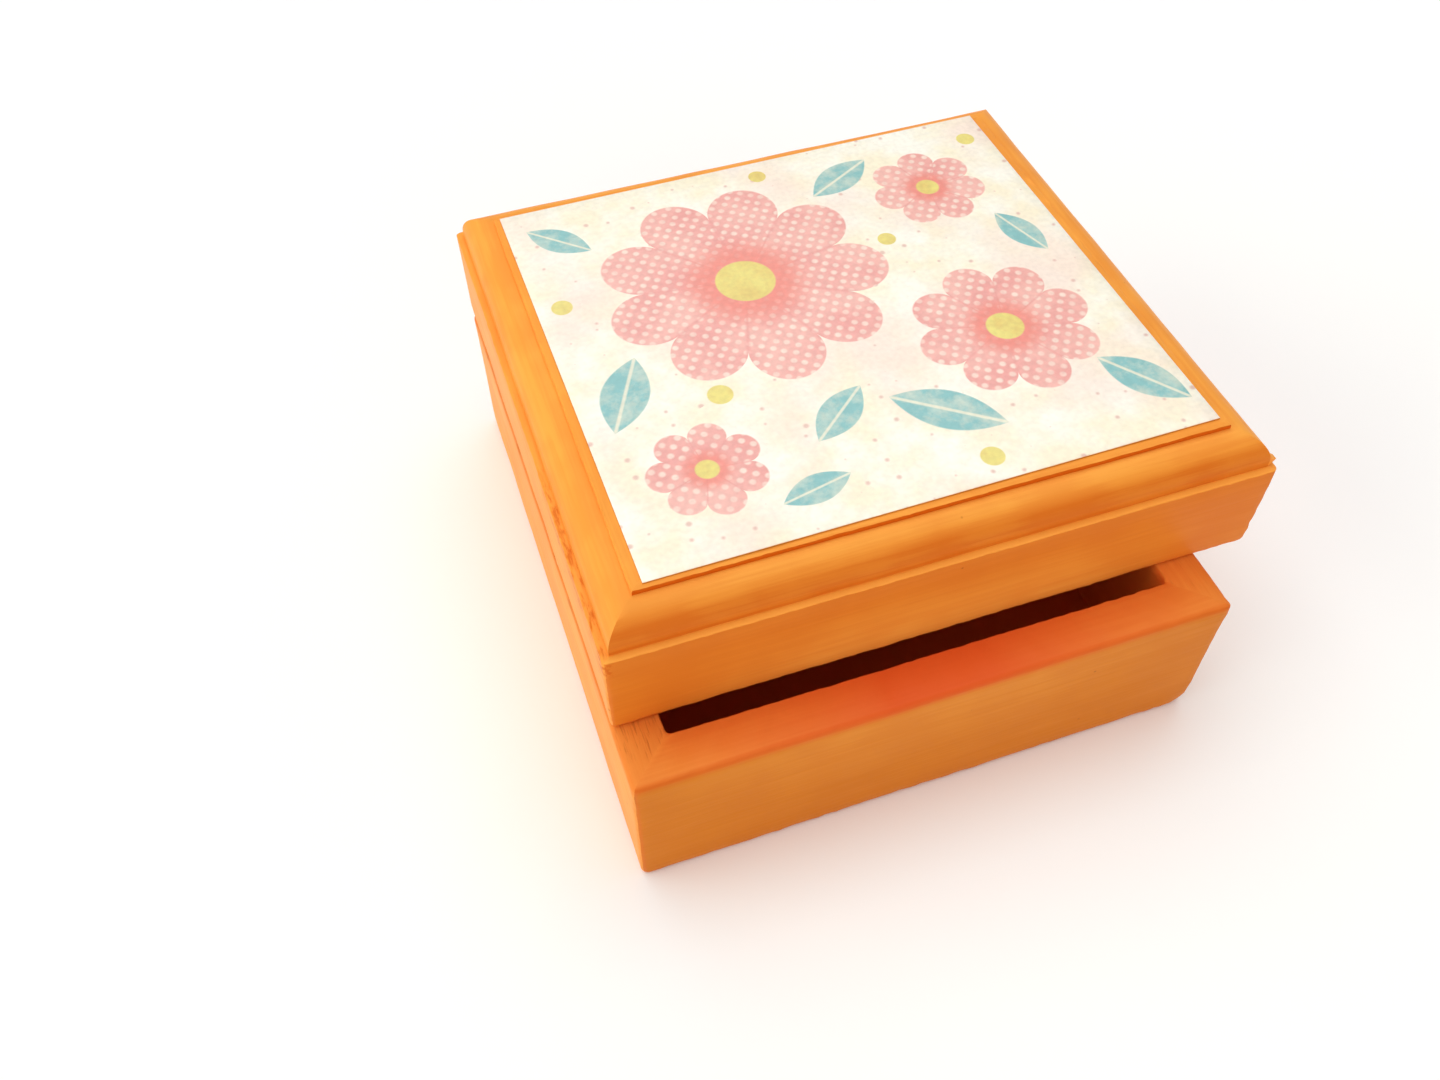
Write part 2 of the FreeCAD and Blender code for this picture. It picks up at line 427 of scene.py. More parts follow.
def part_ring(block, low, high, hand, coats, body, piece_name, node_name):
    """Saw the four walls from a ring, finish, paint and hand over each, and clear the ring away."""
    bpy.ops.object.mode_set(mode="OBJECT")
    for side in SIDES:
        wall = saw_mitres(block, piece_name % side, low, high, side)
        finish_wood(wall, hand)
        coat = coats["X" if side in ("front", "back") else "Y"]
        hand_over(wall, coat, body, node_name % side)
    bpy.data.objects.remove(block)


# Materials

def add_node(tree, kind, inputs=None, **settings):
    """Add a node with its settings. An input is a value, a socket, or a node whose first output in use is linked."""
    node = tree.nodes.new("ShaderNode" + kind)
    for key, value in settings.items():
        setattr(node, key, value)
    in_use = [socket for socket in node.inputs if socket.enabled]
    for key, value in (inputs or {}).items():
        target = in_use[key] if isinstance(key, int) else next(s for s in in_use if s.name == key)
        if isinstance(value, bpy.types.Node):
            value = next(s for s in value.outputs if s.enabled)
        if isinstance(value, bpy.types.NodeSocket):
            tree.links.new(value, target)
        else:
            target.default_value = value
    return node


def new_material(name):
    """An empty material and its tree."""
    material = bpy.data.materials.new(name)
    material.use_nodes = True
    material.node_tree.nodes.clear()
    return material, material.node_tree


def rgba(colour):
    """A colour with full cover."""
    return (*colour, 1.0)


def whereabouts(tree):
    """The place of a point, its X, Y and Z, and how far its face looks up."""
    place = add_node(tree, "TexCoord").outputs["Object"]
    spot = add_node(tree, "SeparateXYZ", {"Vector": place}).outputs
    normal = add_node(tree, "NewGeometry").outputs["Normal"]
    facing_up = add_node(tree, "SeparateXYZ", {"Vector": normal}).outputs["Z"]
    return place, spot, facing_up


def past_box(tree, place, middle, half):
    """How far a place lies past a box round a middle, for X, Y and Z."""
    offset = add_node(tree, "VectorMath", {0: place, 1: middle}, operation="SUBTRACT")
    reach = add_node(tree, "VectorMath", {0: offset}, operation="ABSOLUTE")
    past = add_node(tree, "VectorMath", {0: reach, 1: half}, operation="SUBTRACT")
    return add_node(tree, "SeparateXYZ", {"Vector": past}).outputs


def scattered_spots(tree, cells, bare_share, largest, edge, strength):
    """Spots of mixed sizes in the middle of the cells of a Voronoi texture, a share of which stays bare."""
    chance = add_node(tree, "SeparateColor", {"Color": cells.outputs["Color"]})
    size = add_node(tree, "MapRange", {"Value": chance, "From Min": bare_share, "To Max": largest})
    margin = add_node(tree, "Math", {0: size, 1: cells.outputs["Distance"]}, operation="SUBTRACT")
    return add_node(tree, "MapRange", {"Value": margin, "From Max": edge, "To Max": strength})


def in_sight(tree):
    """1 for what the camera sees, straight, in a gloss or through glass, and 0 for light on other things."""
    rays = add_node(tree, "LightPath").outputs
    seen = add_node(tree, "Math", {0: rays["Is Camera Ray"], 1: rays["Is Glossy Ray"]}, operation="MAXIMUM")
    return add_node(tree, "Math", {0: seen, 1: rays["Is Transmission Ray"]}, operation="MAXIMUM")


# Satin acrylic on sanded pine, laid on by brush: furrows along each piece, patches where the coat is
# thin, a few pits in the wood, and a low soft sheen. Bristles leave finer furrows than these, which are
# as coarse as they need to be to show.

# The colours also paint light and shade: a lit copy of the paint on faces that look up and on the sides, shaded
# copies on fronts and backs, painted light by the mouth and on the ledge, and painted shade on the tray's rim, in the
# quirk and in the hollows.
FURROW_LENGTH = 26 * MM
FURROW_WIDTH = 0.75 * MM
BRUSHED_ALONG = {"X": (1 / FURROW_LENGTH, 1 / FURROW_WIDTH, 1 / FURROW_WIDTH),
                 "Y": (1 / FURROW_WIDTH, 1 / FURROW_LENGTH, 1 / FURROW_WIDTH)}
# How much of the lit copy of the paint, painted light on faces that look up, lies on the left and right sides too
SIDE_LIT_SHARE = 0.85


def brushed_coat(tree, place, stretched, paint, upright_paint, upright_streak):
    """Furrows, patches and thickness of the coat, and its colour: a shaded copy on upright faces and a lit copy on
    those that look up, which is painted light and shade.
    """
    furrows = add_node(tree, "TexNoise", {"Vector": stretched, "Scale": 1.0, "Detail": 3.0, "Roughness": 0.6})
    patches = add_node(tree, "TexNoise", {"Vector": place, "Scale": 1 / (11 * MM), "Detail": 2.0})
    thickness = add_node(tree, "Math", {0: furrows, 1: patches}, operation="MULTIPLY")
    streaks = add_node(tree, "MapRange", {"Value": thickness, "From Min": 0.18, "From Max": 0.36,
                                          "To Min": 0.8, "To Max": 0.0})
    flank = add_node(tree, "Mix", {"Factor": streaks, "A": rgba(upright_paint), "B": rgba(upright_streak)},
                     data_type="RGBA")
    top = add_node(tree, "Mix", {"Factor": streaks, "A": rgba(paint.body), "B": rgba(paint.streak)},
                   data_type="RGBA")
    return furrows, patches, thickness, flank, top


def pitted_coat(tree, place, colour, paint):
    """A few small pits in the wood, which show the undercoat."""
    cells = add_node(tree, "TexVoronoi", {"Vector": place, "Scale": 1 / (7 * MM)})
    pits = scattered_spots(tree, cells, bare_share=0.4, largest=0.07, edge=0.02, strength=0.6)
    return add_node(tree, "Mix", {"Factor": pits, "A": colour, "B": rgba(paint.chip)}, data_type="RGBA")


def satin_shader(tree, place, colour, furrows, scratches=None):
    """Shader of the coat, with a sheen and a relief that follow the furrows, and scratches cut into it."""
    sheen = add_node(tree, "MapRange", {"Value": furrows, "From Min": 0.3, "From Max": 0.7,
                                        "To Min": 0.46, "To Max": 0.36})
    peel = add_node(tree, "TexNoise", {"Vector": place, "Scale": 1 / (0.8 * MM), "Detail": 1.0})
    relief = add_node(tree, "Math", {0: peel, 1: 0.3, 2: furrows}, operation="MULTIPLY_ADD")
    if scratches:
        relief = add_node(tree, "Math", {0: scratches, 1: -3.0, 2: relief}, operation="MULTIPLY_ADD")
    bump = add_node(tree, "Bump", {"Height": relief, "Strength": 0.35, "Distance": 0.12 * MM})
    shader = add_node(tree, "BsdfPrincipled", {"Base Color": colour, "Roughness": sheen, "Normal": bump,
                                               "Specular IOR Level": 0.07})
    add_node(tree, "OutputMaterial", {"Surface": shader})


def scratch_marks(tree, place, spot, patches, near_rim):
    """Short scratches across the rim of the tray's side walls, more of them on the left."""
    torn_map = add_node(tree, "Mapping", {"Vector": place, "Scale": (1 / (0.42 * MM), 1 / (5 * MM), 0)})
    torn = add_node(tree, "TexNoise", {"Vector": torn_map, "Scale": 1.0, "Detail": 2.0, "Roughness": 0.6})
    scratches = add_node(tree, "MapRange", {"Value": torn, "From Min": 0.54, "From Max": 0.68, "To Max": 0.45})
    thick = add_node(tree, "MapRange", {"Value": patches, "From Min": 0.36, "From Max": 0.52})
    endways = add_node(tree, "Math", {0: spot["Y"]}, operation="ABSOLUTE")
    before_end = add_node(tree, "MapRange", {"Value": endways, "From Min": 47 * MM, "From Max": 50 * MM,
                                             "To Min": 1.0, "To Max": 0.0})
    leftward = add_node(tree, "MapRange", {"Value": spot["X"], "From Min": -20 * MM, "From Max": 20 * MM,
                                           "To Min": 1.0, "To Max": 0.45})
    for share in (near_rim, thick, before_end, leftward):
        scratches = add_node(tree, "Math", {0: scratches, 1: share}, operation="MULTIPLY")
    return scratches


def painted_walls(name, paint, run, low, high, wall, is_tray):
    """Paint of the walls that run along X or Y in the ring of tray or lid, with painted light and shade in its
    colour.
    """
    material, tree = new_material(name)
    place, spot, facing_up = whereabouts(tree)
    stretched = add_node(tree, "Mapping", {"Vector": place, "Scale": BRUSHED_ALONG[run]})
    tones = (paint.wall, paint.wall_streak) if is_tray else (paint.rail, paint.rail_streak)
    furrows, patches, _, flank, top = brushed_coat(tree, place, stretched, paint, *tones)
    # Painted light and shade: the lit copy on faces that look up, and mostly on the side walls too, the shaded copy
    # on upright fronts and backs
    upper = add_node(tree, "MapRange", {"Value": facing_up, "From Min": 0.6, "From Max": 1.02,
                                        "To Min": SIDE_LIT_SHARE if run == "Y" else 0.0})
    colour = add_node(tree, "Mix", {"Factor": upper, "A": flank, "B": top}, data_type="RGBA")

    # Painted light by the mouth, most of it midway between the ends
    if is_tray:
        bright = {"From Min": high.z - 18 * MM, "From Max": high.z - 3 * MM, "To Max": 0.35}
    else:
        bright = {"From Min": low.z + 13.5 * MM, "From Max": low.z + 2.5 * MM}
    near_mouth = add_node(tree, "MapRange", {"Value": spot["Z"], **bright})
    middle = (low + high) / 2
    from_middle = add_node(tree, "Math", {0: spot["X"], 1: middle.x}, operation="SUBTRACT")
    from_middle = add_node(tree, "Math", {0: from_middle}, operation="ABSOLUTE")
    midway = add_node(tree, "MapRange", {"Value": from_middle, "From Min": 16 * MM, "From Max": 46 * MM,
                                         "To Min": 1.0, "To Max": 0.1})
    painted_light_by_mouth = add_node(tree, "Math", {0: near_mouth, 1: midway}, operation="MULTIPLY")
    colour = add_node(tree, "Mix", {"Factor": painted_light_by_mouth, "A": colour, "B": top}, data_type="RGBA")

    # The tray's rim, painted redder towards its middle as shade and orange light bounced off the lid, with scratches
    # across the side walls
    scratches = None
    if is_tray:
        near_rim = add_node(tree, "MapRange", {"Value": spot["Z"], "From Min": high.z - 1.9 * MM,
                                               "From Max": high.z - 0.3 * MM})
        aside = add_node(tree, "Math", {0: spot["X"]}, operation="ABSOLUTE")
        towards_middle = add_node(tree, "MapRange", {"Value": aside, "From Min": 8 * MM, "From Max": 44 * MM,
                                                     "To Min": 0.95, "To Max": 0.4})
        shade_and_arris_red = add_node(tree, "Math", {0: near_rim, 1: towards_middle}, operation="MULTIPLY")
        colour = add_node(tree, "Mix", {"Factor": shade_and_arris_red, "A": colour, "B": rgba(paint.shade_and_arris_red)}, data_type="RGBA")
        if run == "Y":
            scratches = scratch_marks(tree, place, spot, patches, near_rim)
            colour = add_node(tree, "Mix", {"Factor": scratches, "A": colour, "B": rgba(paint.chip)},
                              data_type="RGBA")

    # Paint on the walls of the hollow, made deeper and redder as painted shade
    past = past_box(tree, place, middle, (high - low) / 2 - Vector((wall, wall, 0)))
    furthest = add_node(tree, "Math", {0: past["X"], 1: past["Y"]}, operation="MAXIMUM")
    inward = add_node(tree, "MapRange", {"Value": furthest, "From Min": 0.5 * MM, "From Max": 0.15 * MM})
    level = add_node(tree, "Math", {0: facing_up}, operation="ABSOLUTE")
    standing = add_node(tree, "MapRange", {"Value": level, "From Min": 0.6, "From Max": 0.3})
    in_hollow = add_node(tree, "Math", {0: inward, 1: standing}, operation="MULTIPLY")
    colour = add_node(tree, "Mix", {"Factor": in_hollow, "A": colour, "B": rgba(paint.inside)}, data_type="RGBA")

    colour = pitted_coat(tree, place, colour, paint)
    # Redder paint on the arrises, most on the tray's front and back walls
    arris = add_node(tree, "Attribute", attribute_name="worn").outputs["Fac"]
    redness = 0.25 if is_tray and run == "X" else 0.1
    reddened = add_node(tree, "Math", {0: arris, 1: redness}, operation="MULTIPLY")
    colour = add_node(tree, "Mix", {"Factor": reddened, "A": colour, "B": rgba(paint.shade_and_arris_red)}, data_type="RGBA")
    satin_shader(tree, place, colour, furrows, scratches)
    return material


def painted_moulding(name, paint, low, high, ledge, crown):
    """Paint of the lid's board, brushed along its nearest edge, from its box and the heights of ledge and crown, with
    painted light and shade in its colour.
    """
    material, tree = new_material(name)
    place, spot, facing_up = whereabouts(tree)
    past = past_box(tree, place, (low + high) / 2, (high - low) / 2)
    at_side = add_node(tree, "Math", {0: past["X"], 1: past["Y"]}, operation="GREATER_THAN")
    along_front = add_node(tree, "Mapping", {"Vector": place, "Scale": BRUSHED_ALONG["X"]})
    along_side = add_node(tree, "Mapping", {"Vector": place, "Scale": BRUSHED_ALONG["Y"]})
    stretched = add_node(tree, "Mix", {"Factor": at_side, "A": along_front, "B": along_side}, data_type="VECTOR")
    furrows, _, thickness, flank, top = brushed_coat(tree, place, stretched, paint, paint.rail, paint.rail_streak)

    # Dark brush lines on the moulding, over the shaded copy of the paint, and the lit copy towards the top and on the
    # sides: painted light and shade
    lines = add_node(tree, "MapRange", {"Value": thickness, "From Min": 0.16, "From Max": 0.28,
                                        "To Min": 0.42, "To Max": 0.0})
    above_ledge = add_node(tree, "MapRange", {"Value": spot["Z"], "From Min": ledge + 0.1 * MM,
                                              "From Max": ledge + 0.4 * MM})
    lines = add_node(tree, "Math", {0: lines, 1: above_ledge}, operation="MULTIPLY")
    flank = add_node(tree, "Mix", {"Factor": lines, "A": flank, "B": rgba(paint.dark_marks_and_shade)}, data_type="RGBA")
    upper = add_node(tree, "MapRange", {"Value": facing_up, "From Min": 0.6, "From Max": 1.02})
    upper = add_node(tree, "Math", {0: at_side, 1: SIDE_LIT_SHARE, 2: upper}, operation="MULTIPLY_ADD",
                     use_clamp=True)
    colour = add_node(tree, "Mix", {"Factor": upper, "A": flank, "B": top}, data_type="RGBA")

    # Painted highlight on the ledge: paler along front and back, less at the sides
    from_ledge = add_node(tree, "Math", {0: spot["Z"], 1: ledge}, operation="SUBTRACT")
    from_ledge = add_node(tree, "Math", {0: from_ledge}, operation="ABSOLUTE")
    sanded = add_node(tree, "MapRange", {"Value": from_ledge, "From Min": 0.16 * MM, "From Max": 0.06 * MM,
                                         "To Max": 0.5})
    less_at_side = add_node(tree, "MapRange", {"Value": at_side, "To Min": 1.0, "To Max": 0.2})
    sanded = add_node(tree, "Math", {0: sanded, 1: less_at_side}, operation="MULTIPLY")
    colour = add_node(tree, "Mix", {"Factor": sanded, "A": colour, "B": rgba(paint.sanded)}, data_type="RGBA")

    # Quirk, darker along front and back as painted shade and lit at the sides as painted light, and underneath the
    # inside's orange, made deeper as painted shade
    raised = add_node(tree, "MapRange", {"Value": spot["Z"], "From Min": crown,
                                         "From Max": crown + 0.05 * MM})
    steep = add_node(tree, "MapRange", {"Value": facing_up, "From Min": 0.9, "From Max": 0.7})
    quirk = add_node(tree, "Math", {0: raised, 1: steep}, operation="MULTIPLY")
    dark_marks_and_shade = add_node(tree, "Mix", {"Factor": at_side, "A": rgba(paint.dark_marks_and_shade), "B": top}, data_type="RGBA")
    colour = add_node(tree, "Mix", {"Factor": quirk, "A": colour, "B": dark_marks_and_shade}, data_type="RGBA")
    under = add_node(tree, "MapRange", {"Value": facing_up, "From Min": -0.5, "From Max": -0.8})
    colour = add_node(tree, "Mix", {"Factor": under, "A": colour, "B": rgba(paint.inside)}, data_type="RGBA")

    colour = pitted_coat(tree, place, colour, paint)

    # Scuffs along the front half of the left ledge
    flake_map = add_node(tree, "Mapping", {"Vector": place,
                                           "Scale": (1 / (0.8 * MM), 1 / (4 * MM), 1 / (0.8 * MM))})
    flakes = add_node(tree, "TexNoise", {"Vector": flake_map, "Scale": 1.0, "Detail": 3.0, "Roughness": 0.65})
    scuffs = add_node(tree, "MapRange", {"Value": flakes, "From Min": 0.48, "From Max": 0.62, "To Max": 0.8})
    at_left = add_node(tree, "MapRange", {"Value": spot["X"], "From Min": low.x + 1.0 * MM,
                                          "From Max": low.x + 1.4 * MM, "To Min": 1.0, "To Max": 0.0})
    in_front = add_node(tree, "MapRange", {"Value": spot["Y"], "From Min": -12 * MM, "From Max": -3 * MM,
                                           "To Min": 1.0, "To Max": 0.0})
    for share in (at_left, in_front):
        scuffs = add_node(tree, "Math", {0: scuffs, 1: share}, operation="MULTIPLY")
    colour = add_node(tree, "Mix", {"Factor": scuffs, "A": colour, "B": rgba(paint.dark_marks_and_shade)}, data_type="RGBA")
    satin_shader(tree, place, colour, furrows)
    return material


# Rotary-cut birch ply: broad pale figure with short pores, coarser than real ones so that they show, matt.
# The face inside the tray is painted, in an orange made deeper and redder as painted shade.
def birch_ply(paint, inside):
    """Bare plywood below the height of the inside, orange paint there."""
    material, tree = new_material("birch plywood, sanded, painted inside")
    place = add_node(tree, "TexCoord").outputs["Object"]
    figure_map = add_node(tree, "Mapping", {"Vector": place, "Scale": (1 / (7 * MM), 1 / (60 * MM), 1 / (7 * MM))})
    figure = add_node(tree, "TexNoise", {"Vector": figure_map, "Scale": 1.0, "Detail": 4.0, "Distortion": 0.6})
    pore_map = add_node(tree, "Mapping", {"Vector": place, "Scale": (1 / (0.5 * MM), 1 / (6 * MM), 1 / (0.5 * MM))})
    pores = add_node(tree, "TexNoise", {"Vector": pore_map, "Scale": 1.0, "Detail": 1.0})
    grain = add_node(tree, "Math", {0: figure, 1: pores}, operation="MULTIPLY")
    depth = add_node(tree, "MapRange", {"Value": grain, "From Min": 0.16, "From Max": 0.36})
    bare = add_node(tree, "Mix", {"Factor": depth, "A": rgba(paint.birch_grain), "B": rgba(paint.birch)},
                    data_type="RGBA")
    height = add_node(tree, "SeparateXYZ", {"Vector": place}).outputs["Z"]
    painted = add_node(tree, "MapRange", {"Value": height, "From Min": inside - 0.3 * MM,
                                          "From Max": inside - 0.1 * MM})
    colour = add_node(tree, "Mix", {"Factor": painted, "A": bare, "B": rgba(paint.inside)}, data_type="RGBA")
    bump = add_node(tree, "Bump", {"Height": grain, "Strength": 0.25, "Distance": 0.1 * MM})
    shader = add_node(tree, "BsdfPrincipled", {"Base Color": colour, "Normal": bump, "Roughness": 0.6})
    add_node(tree, "OutputMaterial", {"Surface": shader})
    return material


# Offset print on paper, pasted down and gloss varnished: soft edged inks that cover unevenly, mottled
# paper, dots of a regular pitch, and a smooth coat that carries the shine. The paper's fibre is coarser
# than a real one, so that it shows.

# Motifs of the print, in millimetres from the middle of the panel
# Flowers: x, y, radius, petals and turn
FLOWERS = [(-11, 12, 25, 9, 0.2), (25, -13, 15.5, 8, 0.5), (29, 25, 10.5, 7, 0.1), (-31, -26, 9.5, 7, 0.8)]
# Leaves: x, y, length, width and turn
LEAVES = [(-38, -7, 17, 8, 1.1), (15, 33, 15, 7, 0.5), (8, -27, 19, 8.5, 2.5), (40, -31, 16, 7.5, 2.2),
          (-8, -22, 14, 6.5, 0.7), (39, 8, 13, 6, 1.9), (-38, 33, 13, 6, 2.4), (-17, -35, 12, 5.5, 0.2)]
# Buds: x, y and radius
BUDS = [(-24, -12, 2.2), (10, -38, 2.0), (42, 36, 1.8), (16, 14, 1.7), (-42, 16, 1.9), (1, 38.5, 1.7)]
# A motif reaches so far up and down that its height on the panel doesn't count
MOTIF_HEIGHT = 1000
# Width of the soft edge of an ink, and size of a flower's heart against its radius
INK_EDGE = 0.25
HEART = 0.21


def speckled_paper(tree, sheet, mottle, inks):
    """Cream paper with paler patches, pink clouds and specks."""
    patchy = add_node(tree, "MapRange", {"Value": mottle, "From Min": 0.38, "From Max": 0.62})
    ground = add_node(tree, "Mix", {"Factor": patchy, "A": rgba(inks.paper), "B": rgba(inks.paper_light)},
                      data_type="RGBA")
    clouds = add_node(tree, "TexNoise", {"Vector": sheet, "Scale": 1 / 24, "Detail": 2.0})
    tinted = add_node(tree, "MapRange", {"Value": clouds, "From Min": 0.46, "From Max": 0.64, "To Max": 0.8})
    ground = add_node(tree, "Mix", {"Factor": tinted, "A": ground, "B": rgba(inks.blush)}, data_type="RGBA")
    cells = add_node(tree, "TexVoronoi", {"Vector": sheet, "Scale": 1 / 4.6}, voronoi_dimensions="2D")
    specks = scattered_spots(tree, cells, bare_share=0.35, largest=0.14, edge=0.08, strength=0.85)
    return add_node(tree, "Mix", {"Factor": specks, "A": ground, "B": rgba(inks.speck)}, data_type="RGBA")


def dotted_petals(tree, sheet, mottle, wash, inks):
    """Pink ink with patches of rose, under rows of pale dots that come and go."""
    tone = add_node(tree, "MapRange", {"Value": mottle, "From Min": 0.38, "From Max": 0.64, "To Max": 0.9})
    petal = add_node(tree, "Mix", {"Factor": tone, "A": rgba(inks.pink), "B": rgba(inks.rose)}, data_type="RGBA")
    pitch = MM / inks.dot_pitch
    grid = add_node(tree, "Mapping", {"Vector": sheet, "Rotation": (0, 0, 0.6), "Scale": (pitch, pitch, 0)})
    cells = add_node(tree, "TexVoronoi", {"Vector": grid, "Scale": 1.0, "Randomness": 0.12},
                     voronoi_dimensions="2D")
    dots = add_node(tree, "MapRange", {"Value": cells.outputs["Distance"], "From Min": 0.20, "From Max": 0.36,
                                       "To Min": 1.0, "To Max": 0.0})
    cover = add_node(tree, "MapRange", {"Value": wash, "From Min": 0.4, "From Max": 0.6,
                                        "To Min": 0.9, "To Max": 0.5})
    dots = add_node(tree, "Math", {0: dots, 1: cover}, operation="MULTIPLY")
    return add_node(tree, "Mix", {"Factor": dots, "A": petal, "B": rgba(inks.dot)}, data_type="RGBA")


def washed_ink(tree, wash, ink, other, most):
    """An ink that gives way to another in patches."""
    patches = add_node(tree, "MapRange", {"Value": wash, "From Min": 0.42, "From Max": 0.66, "To Max": most})
    return add_node(tree, "Mix", {"Factor": patches, "A": rgba(ink), "B": rgba(other)}, data_type="RGBA")


def print_leaf(tree, sheet, picture, leaf, leaf_ink, inks):
    """A pointed leaf with a pale rib, over the picture."""
    x, y, length, width, lean = leaf
    blade_map = add_node(tree, "Mapping", {"Vector": sheet, "Location": (x, y, 0), "Rotation": (0, 0, lean),
                                           "Scale": (length / 2, width / 2, MOTIF_HEIGHT)}, vector_type="TEXTURE")
    spot = add_node(tree, "SeparateXYZ", {"Vector": blade_map}).outputs
    bow = add_node(tree, "Math", {0: spot["X"], 1: spot["X"]}, operation="MULTIPLY")
    across = add_node(tree, "Math", {0: spot["Y"]}, operation="ABSOLUTE")
    reach = add_node(tree, "Math", {0: bow, 1: across}, operation="ADD")
    blade = add_node(tree, "MapRange", {"Value": reach, "From Min": 1.0, "From Max": 0.94})
    picture = add_node(tree, "Mix", {"Factor": blade, "A": picture, "B": leaf_ink}, data_type="RGBA")
    rib = add_node(tree, "MapRange", {"Value": across, "From Min": 0.10, "From Max": 0.04, "To Max": 0.7})
    rib = add_node(tree, "Math", {0: rib, 1: blade}, operation="MULTIPLY")
    return add_node(tree, "Mix", {"Factor": rib, "A": picture, "B": rgba(inks.paper)}, data_type="RGBA")


def print_bud(tree, sheet, picture, bud, heart_ink):
    """A round bud over the picture."""
    x, y, radius = bud
    disc_map = add_node(tree, "Mapping", {"Vector": sheet, "Location": (x, y, 0),
                                          "Scale": (radius, radius, MOTIF_HEIGHT)}, vector_type="TEXTURE")
    out = add_node(tree, "VectorMath", {0: disc_map}, operation="LENGTH")
    disc = add_node(tree, "MapRange", {"Value": out, "From Min": 1.0, "From Max": 0.9})
    return add_node(tree, "Mix", {"Factor": disc, "A": picture, "B": heart_ink}, data_type="RGBA")


def print_flower(tree, sheet, picture, flower, petal_ink, heart_ink, inks):
    """A flower over the picture: round petals with creases between them, a blush and a heart."""
    x, y, radius, petals, lean = flower
    bloom_map = add_node(tree, "Mapping", {"Vector": sheet, "Location": (x, y, 0), "Rotation": (0, 0, lean),
                                           "Scale": (radius, radius, MOTIF_HEIGHT)}, vector_type="TEXTURE")
    out = add_node(tree, "VectorMath", {0: bloom_map}, operation="LENGTH")
    spot = add_node(tree, "SeparateXYZ", {"Vector": bloom_map}).outputs
    angle = add_node(tree, "Math", {0: spot["Y"], 1: spot["X"]}, operation="ARCTAN2")
    angle = add_node(tree, "Math", {0: angle, 1: petals / 2}, operation="MULTIPLY")
    lobe = add_node(tree, "Math", {0: angle}, operation="SINE")
    lobe = add_node(tree, "Math", {0: lobe}, operation="ABSOLUTE")
    swell = add_node(tree, "Math", {0: lobe, 1: 0.55}, operation="POWER")
    reach = add_node(tree, "MapRange", {"Value": swell, "To Min": 0.70})
    margin = add_node(tree, "Math", {0: reach, 1: out}, operation="SUBTRACT")
    bloom = add_node(tree, "MapRange", {"Value": margin, "From Max": INK_EDGE / radius})
    picture = add_node(tree, "Mix", {"Factor": bloom, "A": picture, "B": petal_ink}, data_type="RGBA")
    crease = add_node(tree, "MapRange", {"Value": lobe, "From Min": 0.16, "From Max": 0.02, "To Max": 0.7})
    crease = add_node(tree, "Math", {0: crease, 1: bloom}, operation="MULTIPLY")
    picture = add_node(tree, "Mix", {"Factor": crease, "A": picture, "B": rgba(inks.rose)}, data_type="RGBA")
    blush = add_node(tree, "MapRange", {"Value": out, "From Min": 0.52, "From Max": 0.24, "To Max": 0.85},
                     interpolation_type="SMOOTHSTEP")
    picture = add_node(tree, "Mix", {"Factor": blush, "A": picture, "B": rgba(inks.coral)}, data_type="RGBA")
    heart = add_node(tree, "MapRange", {"Value": out, "From Min": HEART, "From Max": HEART - INK_EDGE / radius})
    return add_node(tree, "Mix", {"Factor": heart, "A": picture, "B": heart_ink}, data_type="RGBA")


def varnished_print(inks, middle, turn, top):
    """The print on the panel's top, laid out from its middle, and its cut edge below."""
    material, tree = new_material("paper print under gloss varnish")
    place = add_node(tree, "TexCoord").outputs["Object"]
    sheet = add_node(tree, "Mapping", {"Vector": place, "Location": middle, "Rotation": (0, 0, turn),
                                       "Scale": (MM, MM, MM)}, vector_type="TEXTURE")
    mottle = add_node(tree, "TexNoise", {"Vector": sheet, "Scale": 1 / 9, "Detail": 4.0})
    wash = add_node(tree, "TexNoise", {"Vector": sheet, "Scale": 1 / 5, "Detail": 5.0, "Roughness": 0.65})
    petal_ink = dotted_petals(tree, sheet, mottle, wash, inks)
    leaf_ink = washed_ink(tree, wash, inks.teal, inks.paper, most=0.45)
    heart_ink = washed_ink(tree, wash, inks.yellow, inks.edge, most=0.3)
    picture = speckled_paper(tree, sheet, mottle, inks)
    for leaf in LEAVES:
        picture = print_leaf(tree, sheet, picture, leaf, leaf_ink, inks)
    for bud in BUDS:
        picture = print_bud(tree, sheet, picture, bud, heart_ink)
    for flower in FLOWERS:
        picture = print_flower(tree, sheet, picture, flower, petal_ink, heart_ink, inks)
    height = add_node(tree, "SeparateXYZ", {"Vector": place}).outputs["Z"]
    below = add_node(tree, "MapRange", {"Value": height, "From Min": top - 0.08 * MM, "From Max": top - 0.14 * MM})
    picture = add_node(tree, "Mix", {"Factor": below, "A": picture, "B": rgba(inks.edge)}, data_type="RGBA")
    fibre = add_node(tree, "TexNoise", {"Vector": sheet, "Scale": 1 / 0.9, "Detail": 2.0})
    shade = add_node(tree, "MapRange", {"Value": fibre, "From Min": 0.3, "From Max": 0.7,
                                        "To Min": 0.93, "To Max": 1.03})
    picture = add_node(tree, "VectorMath", {0: picture, "Scale": shade}, operation="SCALE")
    cockle = add_node(tree, "TexNoise", {"Vector": sheet, "Scale": 1 / 5, "Detail": 1.0})
    relief = add_node(tree, "Math", {0: fibre, 1: 0.12, 2: cockle}, operation="MULTIPLY_ADD")
    bump = add_node(tree, "Bump", {"Height": relief, "Strength": 0.3, "Distance": 0.1 * MM})
    shader = add_node(tree, "BsdfPrincipled", {"Base Color": picture, "Normal": bump, "Roughness": 0.22})
    add_node(tree, "OutputMaterial", {"Surface": shader})
    return material


